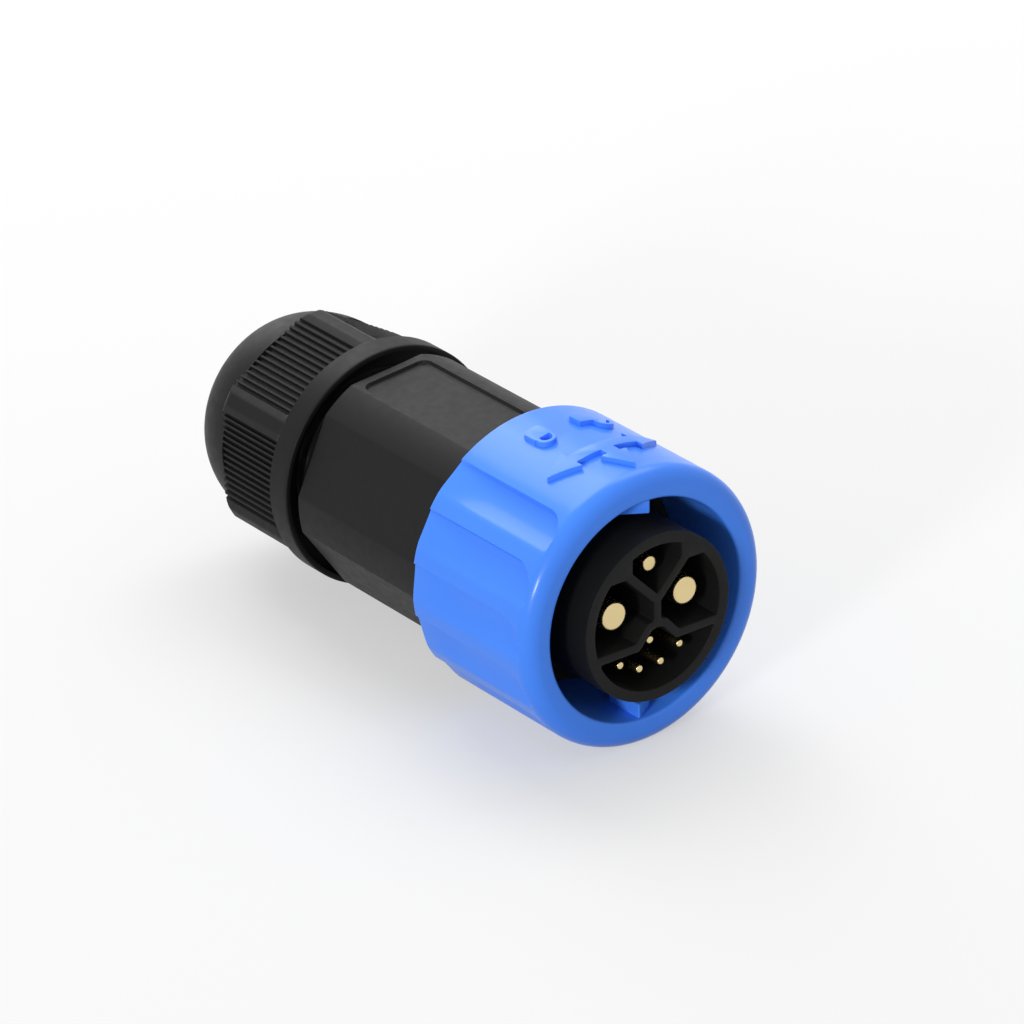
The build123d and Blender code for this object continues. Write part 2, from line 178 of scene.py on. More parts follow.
def turned(radius: Array, station: Array, angles: Array, centre: Point = (0.0, 0.0)) -> Array:
    """Grid of points round an axis along Y.

    X is the centre's plus the radius times the angle's cosine, Z the centre's plus the radius
    times its sine, and Y is the station.

    Args:
        radius: radii, one for each row or for each row and column.
        station: stations, one for each row.
        angles: angles of the columns, in radians.
        centre: where the axis is, in X and Z.

    Returns:
        Points by row and column.
    """
    rows = radius if radius.ndim == 2 else round_rows(radius, angles)
    across, up = centre[0] + rows * np.cos(angles), centre[1] + rows * np.sin(angles)
    return np.stack([across, round_rows(station, angles), up], axis=-1)


def even_angles(count: int) -> Array:
    """Angles of a whole turn in equal steps, without the last."""
    return np.linspace(0.0, TURN, count, endpoint=False)


def sorted_angles(angles: Array, digits: int = 6) -> Array:
    """Angles held within a turn, in order, each once to a number of digits."""
    return np.unique(np.round(np.mod(angles, TURN), digits))


def inset_loop(loop: Array, amount: float) -> Array:
    """Loop drawn in on its left by an amount, each corner along the bisector of its sides.

    Args:
        loop: corners in order, with the inside on the left.
        amount: how far every side moves.

    Returns:
        The moved corners.
    """
    run = np.roll(loop, -1, axis=0) - loop
    run = run / np.linalg.norm(run, axis=1)[:, None]
    ahead = np.column_stack([-run[:, 1], run[:, 0]])
    back = np.roll(ahead, 1, axis=0)
    share = 1.0 + np.sum(ahead * back, axis=1)
    return loop + amount * (ahead + back) / share[:, None]


def prism(loops: list[Array], height: float, bevel: float, slices: Array) -> tuple[Array, list]:
    """Upright block on a flat outline, with round top edges, cut into strips.

    The walls are the outline carried upwards, drawn in over a quarter circle at the top. Holes go
    the other way round than the outline.

    Args:
        loops: the outline, then its holes.
        height: how tall the block is.
        bevel: radius of the top edges.
        slices: first coordinates at which the block is cut, so that it can be bent afterwards.

    Returns:
        The points, and the faces as lists of point numbers.
    """
    grow, fall = quarter(bevel, ROUND_STEPS)
    work = bmesh.new()
    rims: list[list] = [[], []]
    for loop in loops:
        rows = [
            [work.verts.new((x, y, level)) for x, y in inset_loop(loop, inset).tolist()]
            for level, inset in zip([0.0, *(height - fall)], [0.0, *grow])
        ]
        for low, high in zip(rows, rows[1:]):
            for corners in zip(low, low[1:] + low[:1], high[1:] + high[:1], high):
                work.faces.new(corners)
        for rim, row in zip(rims, (rows[0], rows[-1])):
            rim += [work.edges.get(pair) for pair in zip(row, row[1:] + row[:1])]
    for rim, way in zip(rims, (-1, 1)):
        bmesh.ops.triangle_fill(work, use_beauty=True, edges=rim, normal=(0, 0, way))
    for place in slices:
        geometry = work.verts[:] + work.edges[:] + work.faces[:]
        bmesh.ops.bisect_plane(work, geom=geometry, plane_co=(place, 0, 0), plane_no=(1, 0, 0))
    mesh = bpy.data.meshes.new("prism")
    work.to_mesh(mesh)
    work.free()
    points = np.empty(len(mesh.vertices) * 3)
    mesh.vertices.foreach_get("co", points)
    faces = [tuple(face.vertices) for face in mesh.polygons]
    bpy.data.meshes.remove(mesh)
    return points.reshape(-1, 3), faces


def put_in_scene(name: str, data: bpy.types.ID) -> bpy.types.Object:
    """Makes an object and links it to the scene.

    Args:
        name: the object's name.
        data: its mesh, lamp or camera.

    Returns:
        The object.
    """
    made = bpy.data.objects.new(name, data)
    bpy.context.scene.collection.objects.link(made)
    return made


class Shell:
    """Grids, blocks and flat caps of one piece, gathered in millimetres and put into one mesh."""

    def __init__(self, name: str) -> None:
        """Starts an empty shell of a piece's name."""
        self.name = name
        self.points: list[Array] = []
        self.faces: list[list] = []
        self.caps: list[tuple[Array, ...]] = []
        self.count = 0

    def add_grid(self, grid: Array, close_rows: bool = True) -> None:
        """Adds a grid of quads whose columns close on themselves.

        Args:
            grid: points by row and column.
            close_rows: whether the last row joins the first.
        """
        rows, columns = grid.shape[:2]
        index = np.arange(rows * columns).reshape(rows, columns)
        below = index if close_rows else index[:-1]
        above = np.roll(index, -1, axis=0) if close_rows else index[1:]
        quads = [below, np.roll(below, -1, axis=1), np.roll(above, -1, axis=1), above]
        self.add_block(grid.reshape(-1, 3), np.stack(quads, axis=-1).reshape(-1, 4).tolist())

    def add_block(self, points: Array, faces: list) -> None:
        """Adds a block of its own points.

        Args:
            points: the points.
            faces: the faces, as lists of point numbers.
        """
        self.points.append(points)
        self.faces += [[self.count + number for number in face] for face in faces]
        self.count += len(points)

    def add_cap(self, *loops: Array) -> None:
        """Adds a flat face inside the first loop and outside the others, all square to Y."""
        self.caps.append(loops)

    def build(self) -> bpy.types.Object:
        """Puts the shell into a mesh with closed seams, outward faces and sharp edges.

        Returns:
            The finished object, at the origin.
        """
        mesh = bpy.data.meshes.new(self.name)
        mesh.from_pydata((np.concatenate(self.points) * MM).tolist(), [], self.faces)
        work = bmesh.new()
        work.from_mesh(mesh)
        for loops in self.caps:
            edges = []
            for loop in loops:
                corners = [work.verts.new(place) for place in (loop * MM).tolist()]
                edges += [work.edges.new(pair) for pair in zip(corners, corners[1:] + corners[:1])]
            bmesh.ops.triangle_fill(work, use_beauty=True, edges=edges, normal=(0, -1, 0))
        bmesh.ops.remove_doubles(work, verts=work.verts, dist=SEAM)
        bmesh.ops.dissolve_degenerate(work, dist=SLIVER, edges=work.edges)
        bmesh.ops.recalc_face_normals(work, faces=work.faces)
        work.to_mesh(mesh)
        work.free()
        mesh.shade_smooth()
        mesh.set_sharp_from_angle(angle=SHARP)
        return put_in_scene(self.name, mesh)


def feed(tree: Tree, node: Node, inputs: dict) -> Node:
    """Gives a node's inputs their values, or links them to the sockets that bring them.

    Args:
        tree: the tree that the node is in.
        node: the node.
        inputs: a value or a socket for each input, by the input's name or number.

    Returns:
        The same node.
    """
    for label, value in inputs.items():
        if isinstance(value, Socket):
            tree.links.new(value, node.inputs[label])
        else:
            node.inputs[label].default_value = value
    return node


def add_node(tree: Tree, kind: str, inputs: dict) -> Node:
    """Adds a node of a kind and feeds its inputs."""
    return feed(tree, tree.nodes.new(kind), inputs)


def add_group(tree: Tree, group: Tree, inputs: dict) -> Node:
    """Adds a node that stands for a group and feeds its inputs.

    Args:
        tree: the tree that it goes into.
        group: the group.
        inputs: as for feed.

    Returns:
        The node.
    """
    node = tree.nodes.new("ShaderNodeGroup")
    node.node_tree = group
    return feed(tree, node, inputs)


def add_math(tree: Tree, operation: str, first: Socket, second: Socket | float) -> Socket:
    """Adds a math node.

    Args:
        tree: the tree that it goes into.
        operation: what it does.
        first: its first value.
        second: its second value.

    Returns:
        The socket of its result.
    """
    node = tree.nodes.new("ShaderNodeMath")
    node.operation = operation
    return feed(tree, node, {0: first, 1: second}).outputs[0]


class Noise(Enum):
    """Scales of the noises in the groups, in waves to a metre."""

    FINE = 4200.0
    SOFT = 900.0
    BROAD = 90.0


class ShaderGroups:
    """Shader node groups that the finishes share, each built once."""

    def __init__(self) -> None:
        """Builds the groups."""
        self.grain = self._build_grain()
        self.turning = self._build_turning()

    @staticmethod
    def _start(name: str, numbers: dict[str, float], outputs: list[str]) -> tuple[Tree, Node, Node]:
        """Makes an empty group with a Vector input.

        Args:
            name: the group's name.
            numbers: first value of each number input, by name.
            outputs: names of the number outputs.

        Returns:
            The group with its input and output nodes.
        """
        group = bpy.data.node_groups.new(name, "ShaderNodeTree")
        sockets = group.interface
        sockets.new_socket("Vector", in_out="INPUT", socket_type="NodeSocketVector")
        for label, value in numbers.items():
            made = sockets.new_socket(label, in_out="INPUT", socket_type="NodeSocketFloat")
            made.default_value = value
        for label in outputs:
            sockets.new_socket(label, in_out="OUTPUT", socket_type="NodeSocketFloat")
        return group, group.nodes.new("NodeGroupInput"), group.nodes.new("NodeGroupOutput")

    @staticmethod
    def _noise(group: Tree, vector: Socket, scale: Socket | float, detail: float) -> Socket:
        """Adds a noise texture and gives the socket of its value."""
        inputs = {"Vector": vector, "Scale": scale, "Detail": detail}
        return add_node(group, "ShaderNodeTexNoise", inputs).outputs[0]

    def _build_grain(self) -> Tree:
        """Moulded skin: a fine grain, a soft unevenness of the surface and a broad mottle of tone.

        Returns:
            A group with outputs Height, Tone and Roughness.
        """
        numbers = {
            "Grain": Noise.FINE.value,
            "Unevenness": 0.3,
            "Roughness low": 0.4,
            "Roughness high": 0.5,
        }
        group, start, end = self._start("Moulded skin", numbers, ["Height", "Tone", "Roughness"])
        given = start.outputs
        vector = given["Vector"]
        fine = self._noise(group, vector, given["Grain"], 2.0)
        soft = self._noise(group, vector, Noise.SOFT.value, 2.0)
        broad = self._noise(group, vector, Noise.BROAD.value, 3.0)
        swell = add_math(group, "MULTIPLY", soft, given["Unevenness"])
        height = add_math(group, "ADD", fine, swell)
        ends = {"To Min": given["Roughness low"], "To Max": given["Roughness high"]}
        inputs = {"Value": soft, "From Min": 0.3, "From Max": 0.7, **ends}
        spread = add_node(group, "ShaderNodeMapRange", inputs)
        feed(group, end, {"Height": height, "Tone": broad, "Roughness": spread.outputs[0]})
        return group

    def _build_turning(self) -> Tree:
        """Lathe marks: fine rings along the axis with a little wander.

        Returns:
            A group with the outputs Height and Roughness.
        """
        group, start, end = self._start(
            "Lathe marks", {"Pitch": LATHE_PITCH}, ["Height", "Roughness"]
        )
        vector = start.outputs["Vector"]
        wave = group.nodes.new("ShaderNodeTexWave")
        wave.bands_direction = "Y"
        wander = {"Distortion": 1.5, "Detail": 2.0}
        feed(group, wave, {"Vector": vector, "Scale": start.outputs["Pitch"], **wander})
        smear = self._noise(group, vector, Noise.SOFT.value, 3.0)
        inputs = {"Value": smear, "To Min": 0.24, "To Max": 0.30}
        spread = add_node(group, "ShaderNodeMapRange", inputs)
        feed(group, end, {"Height": wave.outputs["Fac"], "Roughness": spread.outputs[0]})
        return group


class Make(Enum):
    """How a surface is made: the two shares that mottle its colour, and its bump's strength."""

    MOULDED = (0.96, 1.04, 0.5)
    TURNED = (0.93, 1.0, 0.35)


@dataclass(frozen=True)
class Finish:
    """A finish of one material slot: moulded plastic or rubber, or turned metal."""

    slot: str
    colour: Triple
    roughness: Point = (0.4, 0.5)
    specular: float = 0.5
    grain: float = Noise.FINE.value
    depth: float = 0.002
    coat: float = 0.0
    make: Make = Make.MOULDED
    pitch: float = LATHE_PITCH

    def tint(self, share: float) -> tuple[float, ...]:
        """Colour times a share, held under one, with its alpha."""
        return (*[min(value * share, 1.0) for value in self.colour], 1.0)

    def dress(self, groups: ShaderGroups) -> bpy.types.Material:
        """Makes the material: a slightly mottled tone under a fine grain or lathe marks.

        Args:
            groups: the shared node groups.

        Returns:
            The material.
        """
        low, high, strength = self.make.value
        metal = self.make is Make.TURNED
        made = bpy.data.materials.new(self.slot)
        made.use_nodes = True
        tree = made.node_tree
        place = tree.nodes.new("ShaderNodeTexCoord").outputs["Object"]
        ends = {"Roughness low": self.roughness[0], "Roughness high": self.roughness[1]}
        skin = add_group(tree, groups.grain, {"Vector": place, "Grain": self.grain, **ends})
        surface = skin
        if metal:
            surface = add_group(tree, groups.turning, {"Vector": place, "Pitch": self.pitch})
        tone = tree.nodes.new("ShaderNodeMix")
        tone.data_type = "RGBA"
        feed(tree, tone, {0: skin.outputs["Tone"], 6: self.tint(low), 7: self.tint(high)})
        relief = {"Height": surface.outputs["Height"], "Distance": self.depth * MM}
        bump = add_node(tree, "ShaderNodeBump", {"Strength": strength, **relief})
        inputs = {
            "Base Color": tone.outputs[2],
            "Metallic": float(metal),
            "Roughness": surface.outputs["Roughness"],
            "Normal": bump.outputs[0],
            "Specular IOR Level": self.specular,
            "Coat Weight": self.coat,
            "Coat Roughness": COAT_ROUGHNESS,
        }
        feed(tree, tree.nodes["Principled BSDF"], inputs)
        return made


BLUE = Finish("ring_plastic", (0.060, 0.252, 1.000), (0.30, 0.36), 0.15, coat=0.2)
SHELL = Finish("shell_plastic", (0.0085, 0.0085, 0.0088), (0.46, 0.54), 0.14)
GLAND = Finish("gland_plastic", (0.0085, 0.0085, 0.0088), (0.46, 0.54), 0.14)
INSERT = Finish("insert_plastic", (0.007, 0.007, 0.007), (0.48, 0.56), 0.14)
WASHER = Finish("washer_plastic", (0.62, 0.62, 0.58), (0.40, 0.50), 0.40)
RUBBER = Finish("seal_rubber", (0.010, 0.010, 0.010), (0.66, 0.80), 0.20, 2600.0, 0.01)
GOLD = Finish("gold_contact", (0.76, 0.61, 0.32), depth=0.0005, make=Make.TURNED)
STEEL = Finish("spring_steel", (0.62, 0.62, 0.62), make=Make.TURNED, pitch=900.0)


class Wardrobe:
    """Materials by finish, and how they are put on pieces."""

    def __init__(self) -> None:
        """Builds the shared groups."""
        self.groups = ShaderGroups()
        self.made: dict[str, bpy.types.Material] = {}

    def put_on(self, piece: bpy.types.Object, finish: Finish) -> None:
        """Gives a piece its only material.

        Args:
            piece: a new piece or a CAD node.
            finish: the finish to use.
        """
        if finish.slot not in self.made:
            self.made[finish.slot] = finish.dress(self.groups)
        piece.data.materials.clear()
        piece.data.materials.append(self.made[finish.slot])

    def finish(self, shell: Shell, finish: Finish, body: str, node: str) -> None:
        """Builds a piece, dresses it, lets it ride on a body and stand for a CAD node.

        Args:
            shell: the piece's shell.
            finish: its finish.
            body: the body that it moves with.
            node: the CAD node that it stands for.
        """
        piece = shell.build()
        self.put_on(piece, finish)
        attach(piece, body)
        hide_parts(node)
        LOG.info("%s rides on %s, %d faces", piece.name, body, len(piece.data.polygons))


@dataclass
class CouplingRing:
    """The blue ring: a fluted grip with raised signs, a bearing rib inside and two lugs."""

    outer: float = 17.5
    mouth: float = 13.9
    length: float = 21.7
    front_round: float = 2.0
    edge_round: float = 0.25
    rear_land: float = 0.5
    mouth_round: float = 0.4
    flutes: int = 13
    plain_arc: float = 69.2
    flute_depths: Point = (0.8, 0.35)
    flute_hollows: Point = (0.5, 0.2)
    flute_full: float = 13.5
    flute_share: float = 0.73
    flute_setback: float = 1.6
    flute_corner: float = 3.4
    step_width: float = 0.28
    sign_height: float = 0.6
    sign_root: float = 0.4
    sign_edge: float = 0.03
    sign_shift: float = 0.2
    slice_width: float = 0.6
    arrow_y: float = 8.25
    shaft_half: float = 0.9
    head_half: float = 1.95
    neck: float = 4.4
    reach: float = 8.0
    pointer_tip: float = 2.1
    pointer_base: float = 6.1
    pointer_half: float = 1.85
    lock_x: float = 3.3
    lock_half: float = 1.3
    lock_ends: Point = (14.85, 17.3)
    lock_corner: float = 0.4
    shackle_radii: Point = (1.2, 0.72)
    shackle_rise: float = 0.45
    shackle_swing: float = 1.8
    lug_x: Point = (-2.05, 0.95)
    lug_y: Triple = (0.3, 2.2, 6.0)
    lug_z: Point = (12.1, 14.4)
    lug_rounds: Point = (0.15, 0.1)
    inner: tuple[Triple, ...] = (
        (15.1, 21.7, 0.15), (15.1, 19.75, 0.0), (14.32, 19.75, 0.0), (14.32, 17.35, 0.0),
        (14.08, 17.35, 0.0), (14.08, 16.0, 0.0), (12.68, 16.0, 0.1), (12.68, 14.4, 0.1),
        (13.9, 14.4, 0.0), (13.9, 0.0, 0.4),
    )

    def flute_angles(self) -> tuple[float, float, float]:
        """Angles at which the flutes start, that they all take up and that one takes up."""
        fluted = math.radians(360.0 - self.plain_arc)
        return math.radians(90.0 + self.plain_arc / 2.0), fluted, fluted / self.flutes

    def columns(self) -> Array:
        """Angles of the grid's columns, close together at each flute's step.

        Returns:
            The angles in order.
        """
        first, _, pitch = self.flute_angles()
        plain = TURN / 4 + np.radians(np.arange(-34.0, 34.1, 2.0))
        step = [-0.3, -0.12, 0.0, 0.05, 0.11, *np.arange(0.18, 3.8, 0.1), 4.1, 4.5, 4.98, 5.4, 6.0]
        starts = first + np.arange(self.flutes) * pitch
        flutes = (starts[:, None] + np.array(step)[None, :] / self.outer).ravel()
        return sorted_angles(np.concatenate([plain, flutes]))

    def rows(self) -> tuple[Array, Array]:
        """Radius and station of the outer rows, from the front face to the rear edge.

        Returns:
            The radii and the stations.
        """
        front_y, front_drop = quarter(self.front_round, 15)
        rear_drop, rear_y = quarter(self.edge_round, 5)
        middle = [5.8, 7.0, 9.0, 12.0, 13.5, 15.0, 16.5, 18.0, 19.0, 20.0, 20.7, 21.3]
        straight = np.concatenate([np.arange(2.1, 5.3, 0.1), middle])
        drop = np.concatenate([front_drop, np.zeros(straight.shape), rear_drop])
        return self.outer - drop, np.concatenate([front_y, straight, self.length - rear_y])

    def flute_cut(self, radius: Array, station: Array, angles: Array) -> Array:
        """How deep the flutes cut at each point.

        Across a flute the depth falls evenly from its step to nought, and a parabola makes the
        floor hollow between them. The depths of step and hollow are full at the front and fall
        off softly to the rear. The step bends round at the front, over a quarter circle.

        Args:
            radius: the plain ring's radius of each row.
            station: the station of each row.
            angles: the angle of each column.

        Returns:
            The depth by row and column.
        """
        first, fluted, pitch = self.flute_angles()
        turn = np.mod(angles - first, TURN)
        local = np.mod(turn, pitch)
        share = np.clip(local / (pitch * self.flute_share), 0.0, 1.0)
        rearward = ease((station - self.flute_full) / (self.length - self.flute_full))[:, None]
        ends = (self.flute_depths, self.flute_hollows)
        step, hollow = (front + (rear - front) * rearward for front, rear in ends)
        floor = step * (1.0 - share) + hollow * 4.0 * share * (1.0 - share)
        along = (local * self.outer)[None, :]
        back = station[:, None]
        corner = self.flute_corner
        round_end = corner - np.hypot(corner - along, self.flute_setback + corner - back)
        plain_end = np.minimum(along, back - self.flute_setback)
        in_corner = (along < corner) & (back < self.flute_setback + corner)
        inside = np.where(in_corner, round_end, plain_end)
        depth = np.maximum(floor - (self.outer - radius)[:, None], 0.0)
        return depth * ease(inside / self.step_width) * (turn < fluted)[None, :]

    def signs(self) -> list[list[Array]]:
        """Outlines of the raised signs: a double arrow with a pointer, and two padlocks.

        Every outline goes round with its inside on the left, and a hole the other way.

        Returns:
            The outline of each block, then its holes.
        """
        middle, shaft, head = self.arrow_y, self.shaft_half, self.head_half
        half = [
            (self.pointer_half, self.pointer_base), (shaft, self.pointer_base),
            (shaft, middle - shaft), (self.neck, middle - shaft), (self.neck, middle - head),
            (self.reach, middle), (self.neck, middle + head), (self.neck, middle + shaft),
        ]
        mirrored = [(-x, y) for x, y in reversed(half)]
        blocks = [[np.array([(0.0, self.pointer_tip), *half, *mirrored])]]
        outer, inner = self.shackle_radii
        front, rear = self.lock_ends
        bend = np.linspace(0.0, TURN / 2, 19)
        eye = front - self.shackle_rise
        for side, swing in ((-1.0, 0.0), (1.0, self.shackle_swing)):
            x = side * self.lock_x
            arch = [(x + swing - outer * math.cos(t), eye - outer * math.sin(t)) for t in bend]
            hole = [(x + swing + inner * math.cos(t), eye - inner * math.sin(t)) for t in bend]
            right = [(self.lock_half, front), (self.lock_half, rear - self.lock_corner)]
            right.append((self.lock_half - self.lock_corner, rear))
            body = [(x + away, y) for away, y in right] + [(x - away, y) for away, y in right[::-1]]
            outside = [(x + swing - outer, front), *arch, (x + swing + outer, front)]
            inside = [(x + swing + inner, front), *hole, (x + swing - inner, front)]
            if swing == 0.0:
                blocks.append([np.array([*outside, *body]), np.array(inside)])
            else:
                blocks.append([np.array([*outside, *inside, *body])])
        return blocks

    def add_signs(self, shell: Shell) -> None:
        """Adds the signs, bent down onto the ring's round.

        Up from the axis, a point is the root of its radius squared less its place across squared.

        Args:
            shell: the ring's shell.
        """
        height = self.sign_root + self.sign_height
        slices = np.arange(-14.0, 14.5) * self.slice_width
        for loops in self.signs():
            points, faces = prism(loops, height, self.sign_edge, slices)
            across, along, rise = points.T
            across = across + self.sign_shift
            radius = self.outer - self.sign_root + rise
            up = np.sqrt(radius**2 - across**2)
            shell.add_block(np.column_stack([across, along, up]), faces)

    def add_lugs(self, shell: Shell) -> None:
        """Adds the two lugs: blocks with a slanted front, the second half a turn from the first.

        Args:
            shell: the ring's shell.
        """
        left, right = self.lug_x
        lead, slant, rear = self.lug_y
        low, high = self.lug_z
        side_round, end_round = self.lug_rounds
        places = ((right, lead), (right, rear), (left, rear), (left, slant))
        outline = rounded_profile([(*place, side_round) for place in places])
        points, faces = prism([outline], high - low, end_round, np.empty(0))
        across, along, depth = points.T
        for side in (1.0, -1.0):
            block = np.column_stack([side * across, along, side * (high - depth)])
            shell.add_block(block, faces)

    def build(self, wardrobe: Wardrobe) -> None:
        """Builds the ring in the place of its node.

        Args:
            wardrobe: where its finish comes from.
        """
        angles = self.columns()
        radius, station = self.rows()
        outside = radius[:, None] - self.flute_cut(radius, station, angles)
        start = (self.outer - self.rear_land, self.length, 0.0)
        inner_r, inner_y = rounded_profile([start, *self.inner], closed=False)[:-1].T
        mouth_drop, mouth_y = quarter(self.mouth_round, 6)
        inner_r = np.concatenate([inner_r, self.mouth + mouth_drop])
        shell = Shell("coupling_ring_grip")
        rows = np.concatenate([outside, round_rows(inner_r, angles)])
        shell.add_grid(turned(rows, np.concatenate([station, inner_y, mouth_y]), angles))
        self.add_signs(shell)
        self.add_lugs(shell)
        wardrobe.finish(shell, BLUE, "ring", "coupling_ring")


@dataclass
class BodyShell:
    """The black body: a round bar with six flats, a bare panel and a threaded neck."""

    outer: float = 14.8
    flat: float = 13.86
    turn: float = 5.3
    front: float = 19.8
    rear: float = 47.9
    edge_round: float = 0.3
    flat_blend: float = 0.05
    panel_sides: Point = (-4.7, 4.85)
    panel_ends: Point = (25.5, 46.5)
    panel_corner: float = 1.4
    panel_depth: float = 0.38
    panel_edge: float = 0.07
    panel_step: float = 0.12
    neck: float = 11.7
    neck_end: float = 60.0
    relief: float = 0.5
    thread_start: float = 49.6
    thread_fade: float = 0.8
    pitch: float = 1.5
    thread_depth: float = 0.75
    bore: tuple[Point, ...] = (
        (11.2, 59.95), (9.85, 60.0), (9.7, 59.85), (9.7, 47.1), (7.0, 47.1), (7.0, 45.1),
        (11.0, 41.1), (11.0, 30.25), (12.43, 30.25), (12.43, 19.95), (12.58, 19.8),
    )

    def columns(self) -> Array:
        """Angles of the columns: close together at the edges of the flats and of the panel.

        Returns:
            The angles in order.
        """
        side = [0.0, 4.0, 8.0, 12.0, 16.0, 19.0, 20.1, 20.35, 20.6, 20.85, 21.6, 24.0, 27.0, 30.0]
        offsets = np.radians(np.array([-value for value in side[1:]] + side))
        normals = np.radians(90.0 + self.turn + 60.0 * np.arange(6))
        near = np.arange(-0.15, 1.5, self.panel_step)
        edges = [end + way * near for end, way in zip(self.panel_sides, (1.0, -1.0))]
        panel = normals[0] - np.arctan(np.concatenate(edges) / self.flat)
        flats = (normals[:, None] + offsets[None, :]).ravel()
        return sorted_angles(np.concatenate([flats, panel]), 5)

    def outline(self, angles: Array) -> Array:
        """Radius of the bar with its flats: the lesser of the round and the nearest flat.

        Args:
            angles: the angle of each column.

        Returns:
            The radius of each column.
        """
        local = np.mod(angles - math.radians(90.0 + self.turn) + TURN / 12, TURN / 6)
        flats = self.flat / np.cos(local - TURN / 12)
        return soft_min(np.full(angles.shape, self.outer), flats, self.flat_blend)

    def panel_cut(self, station: Array, angles: Array) -> Array:
        """Depth of the bare panel: a round-cornered recess in one flat.

        The depth eases in over the edge's width with the distance to the panel's outline, which
        is that to its sides drawn in by the corner, less the corner.

        Args:
            station: the station of each row.
            angles: the angle of each column.

        Returns:
            The depth by row and column.
        """
        turn = math.radians(90.0 + self.turn) - angles
        across = np.where(np.cos(turn) > 0.9, self.flat * np.tan(turn), 99.0)[None, :]
        spans = ((across, self.panel_sides), (station[:, None], self.panel_ends))
        past = [
            np.abs(place - (low + high) / 2) - (high - low) / 2 + self.panel_corner
            for place, (low, high) in spans
        ]
        outside = np.hypot(np.maximum(past[0], 0.0), np.maximum(past[1], 0.0))
        distance = outside + np.minimum(np.maximum(*past), 0.0) - self.panel_corner
        return self.panel_depth * ease(-distance / self.panel_edge)

    def thread(self, station: Array, angles: Array) -> Array:
        """Depth of the neck's thread: a right-hand helix of rounded V grooves.

        The phase is the station over the pitch plus the angle over a turn, and the depth is its
        cosine eased to flat crests. It fades at both ends of the neck.

        Args:
            station: the station of each row.
            angles: the angle of each column.

        Returns:
            The depth by row and column.
        """
        phase = station[:, None] / self.pitch + angles[None, :] / TURN
        wave = ease(0.5 + 0.75 * np.cos(TURN * phase))
        ends = (station - self.thread_start, self.neck_end - station)
        fade = ease(ends[0] / self.thread_fade) * ease(ends[1] / self.thread_fade)
        return self.thread_depth * wave * fade[:, None]

    def build(self, wardrobe: Wardrobe) -> None:
        """Builds the body in the place of its node.

        Args:
            wardrobe: where its finish comes from.
        """
        angles = self.columns()
        grow, fall = quarter(self.edge_round, 5)
        front, rear = self.panel_ends
        step = self.panel_step
        straight = [21.0, 25.2, *np.arange(front - step, front + 1.5, step), 28.0, 36.0, 44.0]
        straight += [*np.arange(rear - 1.44, rear + 0.2, step), 47.0, 47.4]
        bar_y = np.concatenate([self.front + grow, straight, self.rear - fall])
        inset = np.concatenate([fall, np.zeros(len(straight)), grow])
        bar = self.outline(angles)[None, :] - inset[:, None] - self.panel_cut(bar_y, angles)
        neck_y = np.concatenate([[self.rear], np.arange(48.3, self.neck_end - 0.3, 0.1)])
        plain = np.where(neck_y < self.thread_start, self.neck - self.relief, self.neck)
        neck = plain[:, None] - self.thread(neck_y, angles)
        bore_r, bore_y = np.array(self.bore).T
        radius = np.concatenate([bar, neck, round_rows(bore_r, angles)])
        shell = Shell("body_housing")
        shell.add_grid(turned(radius, np.concatenate([bar_y, neck_y, bore_y]), angles))
        wardrobe.finish(shell, SHELL, "shell", "body_shell")


